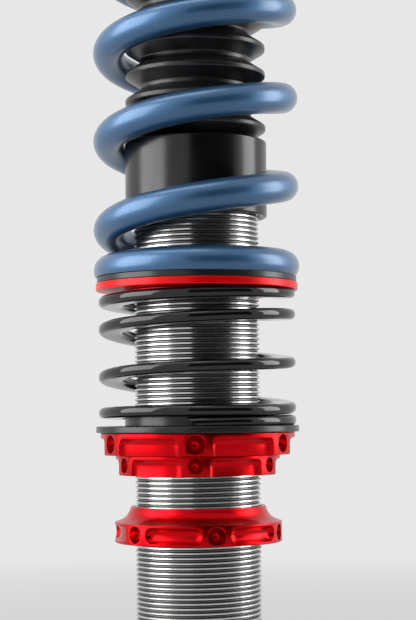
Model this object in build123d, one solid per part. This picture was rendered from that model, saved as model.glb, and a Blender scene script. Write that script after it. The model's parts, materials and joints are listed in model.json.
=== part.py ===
from build123d import *
import os
from math import cos, pi, sin, sqrt

# A height-adjustable coilover. Z runs up the damper from the centre of the lower eye,
# and the eye's bore runs along Y. Lengths are in millimetres, angles in degrees.

# Clearances
slide_clearance = 0.05       # radial, a shaft in the bore that it runs in
thread_clearance = 0.08      # radial, a collar on the crests of the body's thread
hub_clearance = 0.25         # radial, a spring's bore over the hub that centres it
soft_gap = 0.3               # rubber and foam beside a piece that moves
past = 1.0                   # how far a cutting shape runs on past what it cuts

# Lower eye and its bonded bush
eye_d = 48.0
eye_width = 38.0
bush_d = 36.0
bush_shell_wall = 1.2
sleeve_d = 19.0
sleeve_length = 46.0
lower_bolt_hole_d = 12.2

# Lower mount: the threaded cup above the eye
cup_wall = 5.0               # past the body's crests
cup_top = 80.0
cup_floor = 30.0
cup_skirt = 26.0             # where the cup's straight wall starts
neck_width = 40.0
neck_corner = 8.0
cup_chamfer = 1.5

# Damper body, threaded all the way
body_d = 52.0
body_wall = 4.0
body_bottom = 44.0
body_length = 237.0
body_chamfer = 1.0
plug_height = 14.0
plug_recess = 2.0
plug_socket_d = 20.0
plug_socket_depth = 6.0

# Lower lock ring, wound up off the cup
lower_ring_bottom = 117.5
lower_ring_reach = 8.5       # its rim past the body
lower_rim_height = 8.4
lower_cone_height = 6.2
lower_cone_lip = 1.8         # its cone's top past the body
lower_cone_sag = 0.7
lower_hole_d = 6.8
lower_hole_depth = 3.0
lower_slot_depth = 2.4
lower_slot_height = 6.7
lower_ring_phase = 12.2

# Spring seat, and the perch nut and lock ring under it
seat_level = 165.0           # the top of the seat's flange
seat_thickness = 2.6
flange_margin = 1.1          # the seat's and the divider's flanges past the helper spring
seat_hub_height = 7.5
seat_bore_gap = 0.3
perch_reach = 14.2
perch_height = 9.1
perch_hole_d = 7.3
perch_hole_depth = 3.2
perch_slot_depth = 2.0
perch_slot_top = 2.2         # from the nut's top face down to its slots
perch_phase = -1.3
lock_reach = 8.0
lock_height = 8.2
lock_hole_d = 6.0
lock_hole_depth = 2.8
lock_slot_depth = 1.8
lock_slot_top = 1.6
lock_phase = -1.7
grips = 6                    # round grips on a collar, with a slot between each two
slot_half_span = 20.5
slot_corner = 2.7
collar_chamfer = 0.4

# Helper spring, rolled from flat wire
helper_room = 4.3                # from the body out to its bore
helper_wire_width = 10.6
helper_wire_height = 4.5
helper_wire_ease = 1.6           # how far in the rounding of its edges reaches
helper_length = 56.0
helper_turns = 4.25
helper_low_end = (1.05, 5.0)     # turns, pitch
helper_high_end = (1.2, 8.8)
helper_tip_level = 1.2
helper_start = -90.0

# Divider between the springs
divider_thickness = 3.0
divider_hub_height = 5.5
divider_bore_gap = 0.5
washer_margin = 0.6
washer_thickness = 2.7
washer_hub_height = 8.0

# Main spring
main_room = 4.0
main_wire_d = 12.8
main_length = 200.0
main_turns = 6.5
main_end = (0.685, 3.2)          # turns, pitch, alike at both ends
main_tip_level = 2.44
main_start = 151.0

# Boot collar over the top of the body, and the bellows above it
collar_wall = 3.5
collar_height = 31.7
collar_lid = 2.1
collar_lid_lip = 0.5             # its hole inside the body's bore
boot_room = 0.7                  # from its crests out to the main spring
boot_rib_depth = 6.0
boot_wall = 1.5
boot_ribs = 12
boot_crest_share = 0.22          # of the pitch, flat along the crest
boot_valley_share = 0.2

# Seal head and gland
head_height = 23.0
seal_pocket_d = 28.0
seal_pocket_depth = 6.0
gland_height = 4.0
gland_bore_d = 25.0
gland_pin_d = 4.0
gland_pin_circle_d = 34.0
gland_pins = 4

# Floating piston above the gas
float_bottom = 100.0
float_height = 16.0
float_recess_d = 30.0
float_recess_depth = 7.0
ring_wire_d = 2.9
ring_groove_width = 3.6

# Piston and its valving
rod_d = 20.0
rod_bore_d = 6.0
piston_top = 248.0
piston_height = 16.0
piston_gap = 0.6
band_height = 9.0
band_thickness = 1.2
port_d = 4.5
port_circle_d = 29.0
ports = 6
shims = 2                        # on each face
shim_thickness = 0.6
shim_d = 36.0
shim_step = 8.0                  # how much narrower the next one is
spigot_d = 12.0
piston_nut_flats = 19.0
piston_nut_height = 8.0
piston_nut_chamfer = 1.0
spigot_end = 1.5

# Bump stop
bump_room = 1.3                  # from the bump stop out to the boot
bump_length = 44.0
bump_waist_depth = 4.0
bump_waist_height = 3.0
bump_waists = 2

# Upper spring seat and its thrust bearing
upper_seat_margin = 0.2          # past the main spring
upper_seat_thickness = 5.0
upper_hub_height = 8.0
upper_pocket_room = 0.7          # from the bump stop out to its pocket's wall
upper_pocket_depth = 4.0
bearing_d = 48.0
bearing_bore_d = 24.0
bearing_washer_thickness = 1.0
needle_d = 2.0
needle_length = 8.0
needles = 12
cage_thickness = 1.2
cage_gap = 1.0                   # in diameter, inside the washers' edges
spacer_d = 46.0
spacer_thickness = 3.0

# Top mount with its spherical bearing
stud_thread_d = 14.0             # the rod's upper end
stud_tip = 1.0
ball_d = 30.0
ball_width = 17.0                # between the flats over and under it
ball_neck_d = 20.0
ball_height = 18.0               # from the spacer to the ball's centre
race_d = 38.0
race_width = 15.0
boss_d = 56.0
boss_lip = 2.0
boss_lip_bore_d = 34.0
plate_thickness = 8.0
plate_above_race = 3.0
plate_core_d = 74.0
plate_lobe_d = 25.0
plate_edge = 1.2
mount_studs = 3
mount_stud_d = 8.0
mount_stud_circle_d = 96.0
mount_stud_length = 26.0
mount_stud_head_d = 13.0
mount_stud_head_height = 2.6
mount_stud_shoulder_d = 9.0      # the part held in the plate
mount_stud_tip = 1.0
mount_stud_start = 90.0
snap_ring_thickness = 1.4
snap_ring_depth = 1.0
snap_ring_width = 2.4
snap_ring_gap = 30.0
rod_nut_flats = 22.0
rod_nut_height = 11.0
rod_nut_chamfer = 1.0
rod_above_nut = 5.0

# Damping adjuster
knob_d = 17.0
knob_height = 12.0
knob_flutes = 12
knob_flute_d = 2.2
knob_chamfer = 0.8
adjuster_in_knob = 6.0
adjuster_tip_length = 5.0

# Diameters that follow from the sizes above
cup_d = body_d + 2 * cup_wall
body_bore_d = body_d - 2 * body_wall
lower_ring_d = body_d + 2 * lower_ring_reach
lower_cone_top_d = body_d + 2 * lower_cone_lip
perch_d = body_d + 2 * perch_reach
lock_d = body_d + 2 * lock_reach
helper_bore_d = body_d + 2 * helper_room
helper_d = helper_bore_d + 2 * helper_wire_width
main_bore_d = body_d + 2 * main_room
main_d = main_bore_d + 2 * main_wire_d
seat_d = helper_d + 2 * flange_margin
divider_d = seat_d
washer_d = helper_d + 2 * washer_margin
upper_seat_d = main_d + 2 * upper_seat_margin
collar_d = body_d + 2 * collar_wall
collar_lid_bore_d = body_bore_d - 2 * collar_lid_lip
boot_crest_d = main_bore_d - 2 * boot_room
boot_valley_d = boot_crest_d - 2 * boot_rib_depth
boot_bore_d = boot_valley_d - 2 * boot_wall
bump_d = boot_bore_d - 2 * bump_room
bump_waist_d = bump_d - 2 * bump_waist_depth
upper_pocket_d = bump_d + 2 * upper_pocket_room
piston_d = body_bore_d - 2 * piston_gap

# Levels that follow from the sizes above
BOTTOM = (Align.CENTER, Align.CENTER, Align.MIN)
body_top = body_bottom + body_length
collar_top = body_top + collar_lid
perch_top = seat_level - seat_thickness
lock_top = perch_top - perch_height
divider_level = seat_level + helper_length
washer_level = divider_level + divider_thickness
main_level = washer_level + washer_thickness
upper_level = main_level + main_length
hub_bottom = upper_level - upper_hub_height
needle_level = upper_level + upper_seat_thickness + bearing_washer_thickness
shoulder_level = needle_level + needle_d + slide_clearance + bearing_washer_thickness
ball_base = shoulder_level + spacer_thickness
ball_level = ball_base + ball_height
ball_top = ball_level + ball_height
rod_top = ball_top + rod_nut_height + rod_above_nut
race_top = ball_level + race_width / 2
plate_top = race_top + plate_above_race
piston_bottom = piston_top - piston_height
shims_height = shim_thickness * shims
piston_nut_bottom = piston_bottom - shims_height - piston_nut_height


def rod(diameter, bottom, top):
    """A solid cylinder on Z between two levels."""
    return Pos(0, 0, bottom) * Cylinder(diameter / 2, top - bottom, align=BOTTOM)


def tube(diameter, bore, bottom, top):
    """A ring on Z between two levels."""
    return rod(diameter, bottom, top) - rod(bore, bottom - past, top + past)


def turned(*points):
    """A solid turned about Z from (radius, level) corners."""
    outline = make_face(Plane.XZ * Polyline(*points, close=True))
    return revolve(outline, Axis.Z)


def around(shape, count, start=0.0):
    """Copies of a shape spaced evenly about Z."""
    return [Rot(0, 0, start + 360 * i / count) * shape for i in range(count)]


def hexagon(flats, bore, bottom, top, chamfer_size):
    """A hexagon nut on Z, with its corners turned off at both ends."""
    outline = Plane.XY.offset(bottom) * RegularPolygon(flats / 2, 6, major_radius=False)
    prism = extrude(outline, top - bottom)
    corner = flats / sqrt(3)
    blank = turned(
        (0, bottom), (corner - chamfer_size, bottom), (corner, bottom + chamfer_size / 2),
        (corner, top - chamfer_size / 2), (corner - chamfer_size, top), (0, top),
    )
    return (prism & blank) - rod(bore, bottom - past, top + past)


# ---------------------------------------------------------------- springs

def coil_level(turn, turns, low_end, high_end, tip_level, length):
    """Height and pitch of a spring's centre line, some turns from its lower tip."""
    low_turns, low_pitch = low_end
    high_turns, high_pitch = high_end
    end_rise = low_turns * low_pitch + high_turns * high_pitch
    pitch = (length - 2 * tip_level - end_rise) / (turns - low_turns - high_turns)
    if turn <= low_turns:
        return tip_level + turn * low_pitch, low_pitch
    if turn >= turns - high_turns:
        return length - tip_level - (turns - turn) * high_pitch, high_pitch
    return tip_level + low_turns * low_pitch + (turn - low_turns) * pitch, pitch


def coil_station(radius, start, turn, level, pitch):
    """A point on a coil and the coil's direction there."""
    angle = start * pi / 180 + 2 * pi * turn
    point = Vector(radius * cos(angle), radius * sin(angle), level)
    around_once = 2 * pi * radius
    direction = Vector(-around_once * sin(angle), around_once * cos(angle), pitch)
    return point, direction.normalized()


def biarc(start, start_direction, end, end_direction):
    """Two tangent arcs that join two points in their two directions."""
    chord = end - start
    both = start_direction + end_direction
    bend = 2 * (1 - start_direction.dot(end_direction))
    along = chord.dot(both)
    reach = (sqrt(along ** 2 + bend * chord.dot(chord)) - along) / bend
    first_corner = start + start_direction * reach
    second_corner = end - end_direction * reach
    middle = (first_corner + second_corner) * 0.5
    middle_direction = (second_corner - first_corner).normalized()
    return [
        Edge.make_tangent_arc(start, start_direction, middle),
        Edge.make_tangent_arc(middle, middle_direction, end),
    ]


def coil_path(radius, start, turns, low_end, high_end, tip_level, length):
    """A spring's centre line, one biarc to each quarter of a turn."""
    stations = []
    for quarter in range(round(4 * turns) + 1):
        level, pitch = coil_level(quarter / 4, turns, low_end, high_end, tip_level, length)
        stations.append(coil_station(radius, start, quarter / 4, level, pitch))
    edges = []
    for (point, direction), (next_point, next_direction) in zip(stations, stations[1:]):
        edges += biarc(point, direction, next_point, next_direction)
    return Wire(edges)


def least_gap(path, turns, thickness):
    """The smallest gap between a coil's turns, measured on points of its centre line."""
    per_turn = 48
    count = round(turns * per_turn)
    points = [path @ (i / count) for i in range(count + 1)]
    gaps = [
        (points[i] - points[k]).length - thickness
        for i in range(count + 1)
        for k in range(i + per_turn // 2, min(i + 2 * per_turn, count + 1))
    ]
    return min(gaps)


def ground_flat(coil, bottom, length, across):
    """A coil moved to its seat, with both ends ground flat."""
    return Pos(0, 0, bottom) * (coil & rod(across, 0, length))


def main_spring():
    radius = (main_bore_d + main_wire_d) / 2
    path = coil_path(radius, main_start, main_turns, main_end, main_end, main_tip_level, main_length)
    wire = Plane(origin=path @ 0, z_dir=path % 0) * Circle(main_wire_d / 2)
    print("main spring, least gap between turns:", round(least_gap(path, main_turns, main_wire_d), 2))
    return ground_flat(sweep(wire, path=path), main_level, main_length, 2 * main_d)


def helper_spring():
    radius = (helper_bore_d + helper_wire_width) / 2
    shape = (helper_start, helper_turns, helper_low_end, helper_high_end, helper_tip_level, helper_length)
    path = coil_path(radius, *shape)
    guide = coil_path(radius / 2, *shape)
    outward = Vector(1, 0, 0).rotate(Axis.Z, helper_start)
    section = Plane(origin=path @ 0, x_dir=outward, z_dir=path % 0)
    half_width = helper_wire_width / 2
    half_height = helper_wire_height / 2
    edge_height = half_height - helper_wire_ease
    shoulder = half_width - helper_wire_ease
    corners = [
        (half_width, edge_height), (shoulder, half_height), (-shoulder, half_height),
        (-half_width, edge_height), (-half_width, -edge_height), (-shoulder, -half_height),
        (shoulder, -half_height), (half_width, -edge_height),
    ]
    wire = section * Polygon(*corners, align=None)
    gap = least_gap(path, helper_turns, helper_wire_height)
    print("helper spring, least gap between turns:", round(gap, 2))
    coil = sweep(wire, path=path, binormal=guide)
    return ground_flat(coil, seat_level, helper_length, 2 * helper_d)


# ---------------------------------------------------------------- collars

def round_grip(rim_d, hole_d, depth, level):
    """The space of a round pocket drilled into a rim at the front."""
    return Pos(0, depth - rim_d / 2, level) * Rot(90, 0, 0) * Cylinder(hole_d / 2, 2 * depth, align=BOTTOM)


def slot_grip(rim_d, depth, corner, low, high):
    """The space of a long slot milled along a rim at the front, round at its corners."""
    width = rim_d * sin(slot_half_span * pi / 180)
    outline = Plane.XZ * Pos(0, (low + high) / 2) * RectangleRounded(width, high - low, corner)
    floor = rod(rim_d - 2 * depth, low - past, high + past)
    return extrude(outline, rim_d) - floor


def gripped(blank, hole, slot, phase):
    """A collar with round grips about its rim and slots between them."""
    half_step = 180 / grips
    return blank - around(hole, grips, phase) - around(slot, grips, phase + half_step)


def open_collar(rim_d, height, top, hole_d, hole_depth, slot_depth, slot_top, phase):
    """A collar whose slots run out through its lower face."""
    bore = body_d / 2 + thread_clearance
    rim = rim_d / 2
    low = top - height
    blank = turned(
        (bore, low), (rim - collar_chamfer, low), (rim, low + collar_chamfer),
        (rim, top - collar_chamfer), (rim - collar_chamfer, top), (bore, top),
    )
    hole = round_grip(rim_d, hole_d, hole_depth, top - height / 2)
    slot = slot_grip(rim_d, slot_depth, slot_corner, low - 2 * slot_corner, top - slot_top)
    return gripped(blank, hole, slot, phase)


def perch_nut():
    return open_collar(
        perch_d, perch_height, perch_top, perch_hole_d, perch_hole_depth,
        perch_slot_depth, perch_slot_top, perch_phase,
    )


def perch_lock_ring():
    return open_collar(
        lock_d, lock_height, lock_top, lock_hole_d, lock_hole_depth,
        lock_slot_depth, lock_slot_top, lock_phase,
    )


def lower_lock_ring():
    """The ring that locks the body in the lower mount: a rim under a hollow-sided cone."""
    bore = body_d / 2 + thread_clearance
    rim = lower_ring_d / 2
    low = lower_ring_bottom
    shelf = low + lower_rim_height
    top = shelf + lower_cone_height
    cone_top = lower_cone_top_d / 2
    middle = ((rim + cone_top) / 2 - lower_cone_sag, (shelf + top) / 2 - lower_cone_sag)
    slope = ThreePointArc((rim, shelf), middle, (cone_top, top))
    edge = Polyline(
        (cone_top, top), (bore, top), (bore, low), (rim - collar_chamfer, low),
        (rim, low + collar_chamfer), (rim, shelf),
    )
    blank = revolve(make_face(Plane.XZ * Curve([slope, edge])), Axis.Z)
    centre = low + lower_rim_height / 2
    half = lower_slot_height / 2
    hole = round_grip(lower_ring_d, lower_hole_d, lower_hole_depth, centre)
    slot = slot_grip(lower_ring_d, lower_slot_depth, slot_corner, centre - half, centre + half)
    return gripped(blank, hole, slot, lower_ring_phase)


# ---------------------------------------------------------------- lower mount

def lower_mount():
    eye = Rot(90, 0, 0) * Cylinder(eye_d / 2, eye_width)
    foot = Plane.XY * RectangleRounded(neck_width, eye_width, neck_corner)
    skirt = Plane.XY.offset(cup_skirt) * Circle(cup_d / 2)
    neck = loft([foot, skirt])
    cup = rod(cup_d, cup_skirt, cup_top)
    mouth = cup.edges().group_by(Axis.Z)[-1]
    blank = eye + neck + chamfer(mouth, cup_chamfer)
    cup_bore = body_d + 2 * thread_clearance
    pocket = rod(cup_bore, cup_floor, cup_top + past)
    bush_hole = Rot(90, 0, 0) * Cylinder(bush_d / 2, 2 * eye_width)
    return blank - pocket - bush_hole


def along_eye(diameter, bore, length):
    """A ring on the axis of the lower eye."""
    ring = Cylinder(diameter / 2, length) - Cylinder(bore / 2, 2 * length)
    return Rot(90, 0, 0) * ring


def bush_shell():
    outside = bush_d - 2 * slide_clearance
    return along_eye(outside, bush_d - 2 * bush_shell_wall, eye_width)


def bush_rubber():
    """The bonded rubber, hollowed a little at both faces."""
    outside = bush_d / 2 - bush_shell_wall - slide_clearance
    inside = sleeve_d / 2 + slide_clearance
    face = eye_width / 2
    hollow = (outside - inside) / 4
    ring = turned(
        (inside, -face), (inside + hollow, -face + hollow), (outside - hollow, -face + hollow),
        (outside, -face), (outside, face), (outside - hollow, face - hollow),
        (inside + hollow, face - hollow), (inside, face),
    )
    return Rot(90, 0, 0) * ring


def eye_sleeve():
    return along_eye(sleeve_d, lower_bolt_hole_d, sleeve_length)


# ---------------------------------------------------------------- damper body

def threaded_body():
    outer = body_d / 2
    bore = body_bore_d / 2
    return turned(
        (bore, body_bottom), (outer - body_chamfer, body_bottom), (outer, body_bottom + body_chamfer),
        (outer, body_top - body_chamfer), (outer - body_chamfer, body_top), (bore, body_top),
    )


def base_plug():
    """The plug that closes the gas end, with a hexagon socket in its outer face."""
    low = body_bottom + plug_recess
    blank = rod(body_bore_d - 2 * slide_clearance, low, low + plug_height)
    socket = Plane.XY.offset(low) * RegularPolygon(plug_socket_d / 2, 6, major_radius=False)
    return blank - extrude(socket, plug_socket_depth)


def seal_head():
    top = body_top - gland_height
    inside = rod_d / 2 + slide_clearance
    outside = body_bore_d / 2 - slide_clearance
    pocket = seal_pocket_d / 2
    return turned(
        (inside, top - head_height), (outside, top - head_height), (outside, top),
        (pocket, top), (pocket, top - seal_pocket_depth), (inside, top - seal_pocket_depth),
    )


def rod_seal():
    """A lip seal: a ring with a groove in the face that meets the oil."""
    top = body_top - gland_height
    low = top - seal_pocket_depth
    inside = rod_d / 2 + slide_clearance
    outside = seal_pocket_d / 2 - slide_clearance
    lip = (outside - inside) / 3
    return turned(
        (inside, low), (inside + lip, low), (inside + lip, low + lip), (outside - lip, low + lip),
        (outside - lip, low), (outside, low), (outside, top), (inside, top),
    )


def gland_nut():
    """The ring that holds the seal head down, with holes for a pin wrench."""
    blank = tube(body_bore_d - 2 * slide_clearance, gland_bore_d, body_top - gland_height, body_top)
    pin = rod(gland_pin_d, body_top - gland_height - past, body_top + past)
    pin = Pos(gland_pin_circle_d / 2, 0, 0) * pin
    return blank - around(pin, gland_pins)


def boot_collar():
    outer = collar_d / 2
    bore = body_d / 2 + slide_clearance
    hole = collar_lid_bore_d / 2
    low = collar_top - collar_height
    wall = outer - bore
    return turned(
        (bore + wall / 3, low), (outer, low), (outer, collar_top - wall / 3),
        (outer - wall / 3, collar_top), (hole, collar_top), (hole, body_top), (bore, body_top),
        (bore, low + wall / 2),
    )


def bellows(crest_d, valley_d, low, high, ribs):
    """A ribbed tube, ruled through four circles to each rib."""
    pitch = (high - low) / ribs
    flat = pitch * boot_crest_share / 2
    base = pitch * boot_valley_share / 2
    circles = []
    for i in range(ribs):
        middle = low + (i + 0.5) * pitch
        steps = (
            (middle - pitch / 2 + base, valley_d), (middle - flat, crest_d),
            (middle + flat, crest_d), (middle + pitch / 2 - base, valley_d),
        )
        circles += [Plane.XY.offset(level) * Circle(width / 2) for level, width in steps]
    ends = [Plane.XY.offset(level) * Circle(valley_d / 2) for level in (low, high)]
    return loft([ends[0], *circles, ends[1]], ruled=True)


def dust_boot():
    high = hub_bottom - soft_gap
    outside = bellows(boot_crest_d, boot_valley_d, collar_top, high, boot_ribs)
    inside = rod(boot_bore_d, collar_top - past, high + past)
    return outside - inside


def floating_piston():
    """The piston between gas and oil, hollow below, with a groove for its ring."""
    outside = body_bore_d / 2 - slide_clearance
    groove = outside - ring_wire_d - slide_clearance
    low = float_bottom
    top = low + float_height
    middle = (low + top) / 2
    recess = float_recess_d / 2
    half = ring_groove_width / 2
    return turned(
        (0, low + float_recess_depth), (recess, low + float_recess_depth), (recess, low),
        (outside, low), (outside, middle - half), (groove, middle - half),
        (groove, middle + half), (outside, middle + half), (outside, top), (0, top),
    )


def floating_piston_ring():
    """The piston's seal ring, with its four corners cut off."""
    middle = float_bottom + float_height / 2
    outside = body_bore_d / 2 - slide_clearance
    inside = outside - ring_wire_d
    half = ring_wire_d / 2
    cut = ring_wire_d / 4
    return turned(
        (inside, middle - half + cut), (inside + cut, middle - half), (outside - cut, middle - half),
        (outside, middle - half + cut), (outside, middle + half - cut), (outside - cut, middle + half),
        (inside + cut, middle + half), (inside, middle + half - cut),
    )


# ---------------------------------------------------------------- spring seats

def flanged(flange_d, hub_d, bore_d, flange_bottom, flange_top, hub_end):
    """A flange with a hub on one side of it and a bore through both."""
    return (
        tube(flange_d, bore_d, flange_bottom, flange_top)
        + tube(hub_d, bore_d, min(flange_bottom, hub_end), max(flange_top, hub_end))
    )


def spring_seat():
    return flanged(
        seat_d, helper_bore_d - 2 * hub_clearance, body_d + 2 * seat_bore_gap,
        perch_top, seat_level, seat_level + seat_hub_height,
    )


def divider_ring():
    return flanged(
        divider_d, helper_bore_d - 2 * hub_clearance, body_d + 2 * divider_bore_gap,
        divider_level, washer_level, divider_level - divider_hub_height,
    )


def divider_washer():
    return flanged(
        washer_d, main_bore_d - 2 * hub_clearance, body_d + 2 * divider_bore_gap,
        washer_level, main_level, main_level + washer_hub_height,
    )


def upper_seat():
    """The seat that caps the main spring, with a pocket below for the bump stop."""
    body = flanged(
        upper_seat_d, main_bore_d - 2 * hub_clearance, rod_d + 2 * slide_clearance,
        upper_level, upper_level + upper_seat_thickness, hub_bottom,
    )
    return body - rod(upper_pocket_d, hub_bottom - past, hub_bottom + upper_pocket_depth)


# ---------------------------------------------------------------- thrust bearing

def thrust_washer_lower():
    return tube(bearing_d, bearing_bore_d, needle_level - bearing_washer_thickness, needle_level)


def thrust_washer_upper():
    low = needle_level + needle_d + slide_clearance
    return tube(bearing_d, rod_d + 2 * slide_clearance, low, low + bearing_washer_thickness)


def needle(diameter, length):
    """A roller that lies along X at the bearing's mean radius."""
    middle = (bearing_d + bearing_bore_d) / 4
    return Pos(middle, 0, needle_level + needle_d / 2) * Rot(0, 90, 0) * Cylinder(diameter / 2, length)


def thrust_needles():
    return Compound(children=around(needle(needle_d, needle_length), needles))


def thrust_cage():
    middle = needle_level + needle_d / 2
    low = middle - cage_thickness / 2
    blank = tube(bearing_d - cage_gap, bearing_bore_d + cage_gap, low, low + cage_thickness)
    pocket = needle(needle_d + 4 * slide_clearance, needle_length + 4 * slide_clearance)
    return blank - around(pocket, needles)


# ---------------------------------------------------------------- rod and piston

def piston_rod():
    """The rod, with a spigot for the piston below and a threaded end above."""
    main = rod(rod_d, piston_top + shims_height, shoulder_level)
    spigot = rod(spigot_d, piston_nut_bottom - spigot_end, piston_top + shims_height)
    stud = rod(stud_thread_d, shoulder_level, rod_top)
    stud = chamfer(stud.edges().group_by(Axis.Z)[-1], stud_tip)
    return main + spigot + stud - rod(rod_bore_d, piston_bottom, rod_top + past)


def piston():
    blank = tube(piston_d, spigot_d + 2 * slide_clearance, piston_bottom, piston_top)
    middle = (piston_bottom + piston_top) / 2
    half = band_height / 2 + slide_clearance
    groove = tube(piston_d + 2 * past, piston_d - 2 * band_thickness, middle - half, middle + half)
    port = Pos(port_circle_d / 2, 0, 0) * rod(port_d, piston_bottom - past, piston_top + past)
    return blank - groove - around(port, ports)


def piston_band():
    middle = (piston_bottom + piston_top) / 2
    inside = piston_d - 2 * band_thickness + 2 * slide_clearance
    outside = body_bore_d - 2 * slide_clearance
    return tube(outside, inside, middle - band_height / 2, middle + band_height / 2)


def valve_shims():
    """Stacks of thin discs that cover the ports, the widest against the piston."""
    bore = spigot_d + 2 * slide_clearance
    discs = []
    for i in range(shims):
        width = shim_d - i * shim_step
        above = piston_top + i * shim_thickness
        below = piston_bottom - (i + 1) * shim_thickness
        discs.append(tube(width, bore, above, above + shim_thickness))
        discs.append(tube(width, bore, below, below + shim_thickness))
    return Compound(children=discs)


def piston_nut():
    bore = spigot_d + 2 * slide_clearance
    top = piston_nut_bottom + piston_nut_height
    return hexagon(piston_nut_flats, bore, piston_nut_bottom, top, piston_nut_chamfer)


def bump_stop():
    """A foam buffer with waists that let it fold."""
    inside = rod_d / 2 + soft_gap
    outer = bump_d / 2
    waist = bump_waist_d / 2
    top = hub_bottom + upper_pocket_depth - soft_gap
    low = top - bump_length
    step = bump_length / (bump_waists + 1)
    half = bump_waist_height / 2
    outline = [(inside, low), (waist, low), (outer, low + bump_waist_height)]
    for i in range(1, bump_waists + 1):
        middle = low + i * step
        outline += [(outer, middle - 2 * half), (waist, middle), (outer, middle + 2 * half)]
    outline += [(outer, top), (inside, top)]
    return turned(*outline)


def top_spacer():
    return tube(spacer_d, stud_thread_d + 2 * slide_clearance, shoulder_level, ball_base)


def pillow_ball():
    """The ball, with a neck above and below that takes the clamping load."""
    neck = rod(ball_neck_d, ball_base, ball_top)
    ball = Pos(0, 0, ball_level) * Sphere(ball_d / 2)
    ball &= rod(ball_d, ball_level - ball_width / 2, ball_level + ball_width / 2)
    return neck + ball - rod(stud_thread_d + 2 * slide_clearance, ball_base - past, ball_top + past)


def rod_nut():
    bore = stud_thread_d + 2 * slide_clearance
    return hexagon(rod_nut_flats, bore, ball_top, ball_top + rod_nut_height, rod_nut_chamfer)


# ---------------------------------------------------------------- top mount

def bearing_race():
    half = race_width / 2
    ring = rod(race_d - 2 * slide_clearance, ball_level - half, ball_level + half)
    return ring - Pos(0, 0, ball_level) * Sphere(ball_d / 2 + slide_clearance)


def plate_outline():
    """Three lobes for the studs, joined by straight sides about a round core."""
    lobe = Pos(mount_stud_circle_d / 2, 0) * Circle(plate_lobe_d / 2)
    rounds = [Circle(plate_core_d / 2), *around(lobe, mount_studs, mount_stud_start)]
    return make_hull([edge for shape in rounds for edge in shape.edges()])


def top_plate():
    low = plate_top - plate_thickness
    plate = extrude(Plane.XY.offset(low) * plate_outline(), plate_thickness)
    plate = chamfer(plate.edges().group_by(Axis.Z)[-1], plate_edge)
    boss_bottom = ball_level - race_width / 2 - boss_lip
    boss = rod(boss_d, boss_bottom, low)
    bore = rod(race_d, boss_bottom + boss_lip, plate_top + past)
    lip = rod(boss_lip_bore_d, boss_bottom - past, plate_top)
    groove = rod(race_d + 2 * snap_ring_depth, race_top, race_top + snap_ring_thickness)
    stud_hole = rod(mount_stud_shoulder_d + 2 * slide_clearance, low - past, plate_top + past)
    stud_hole = Pos(mount_stud_circle_d / 2, 0, 0) * stud_hole
    return plate + boss - bore - lip - groove - around(stud_hole, mount_studs, mount_stud_start)


def retaining_ring():
    """A split ring in its groove over the race."""
    outside = race_d + 2 * snap_ring_depth - 4 * slide_clearance
    inside = race_d - 2 * snap_ring_width
    low = race_top + slide_clearance
    ring = tube(outside, inside, low, race_top + snap_ring_thickness - slide_clearance)
    angle = snap_ring_gap * pi / 180
    wedge = Polygon((0, 0), (race_d, 0), (race_d * cos(angle), race_d * sin(angle)), align=None)
    return ring - extrude(Plane.XY.offset(race_top) * wedge, snap_ring_thickness)


def top_studs():
    under = plate_top - plate_thickness
    head = rod(mount_stud_head_d, under - mount_stud_head_height, under)
    shoulder = rod(mount_stud_shoulder_d, under, plate_top)
    shank = rod(mount_stud_d, plate_top, plate_top + mount_stud_length)
    shank = chamfer(shank.edges().group_by(Axis.Z)[-1], mount_stud_tip)
    stud = Pos(mount_stud_circle_d / 2, 0, 0) * (head + shoulder + shank)
    return Compound(children=around(stud, mount_studs, mount_stud_start))


# ---------------------------------------------------------------- adjuster

def adjuster_knob():
    low = rod_top + soft_gap
    blank = rod(knob_d, low, low + knob_height)
    blank = chamfer(blank.edges().group_by(Axis.Z)[-1], knob_chamfer)
    flute = Pos(knob_d / 2, 0, 0) * rod(knob_flute_d, low - past, low + knob_height + past)
    socket = rod(rod_bore_d, low - past, low + adjuster_in_knob)
    return blank - around(flute, knob_flutes) - socket


def adjuster_rod():
    """The rod down the middle of the piston rod, with the needle that meters the oil."""
    width = rod_bore_d - 2 * slide_clearance
    tip = piston_bottom + slide_clearance
    shoulder = tip + adjuster_tip_length
    blank = rod(width, shoulder, rod_top + soft_gap + adjuster_in_knob)
    return blank + turned((0, tip), (width / 6, tip), (width / 2, shoulder), (0, shoulder))


nodes = [
    lower_mount, bush_shell, bush_rubber, eye_sleeve,
    threaded_body, base_plug, seal_head, rod_seal, gland_nut, boot_collar, dust_boot,
    floating_piston, floating_piston_ring,
    lower_lock_ring, spring_seat, perch_nut, perch_lock_ring,
    helper_spring, divider_ring, divider_washer, main_spring,
    piston_rod, piston, piston_band, valve_shims, piston_nut, bump_stop,
    upper_seat, thrust_washer_lower, thrust_needles, thrust_cage, thrust_washer_upper,
    top_spacer, pillow_ball, rod_nut,
    bearing_race, top_plate, retaining_ring, top_studs,
    adjuster_knob, adjuster_rod,
]
os.makedirs("parts", exist_ok=True)
for make in nodes:
    export_step(make(), f"parts/{make.__name__}.step")
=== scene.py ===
import json
from math import cos, pi, radians, sin

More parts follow.
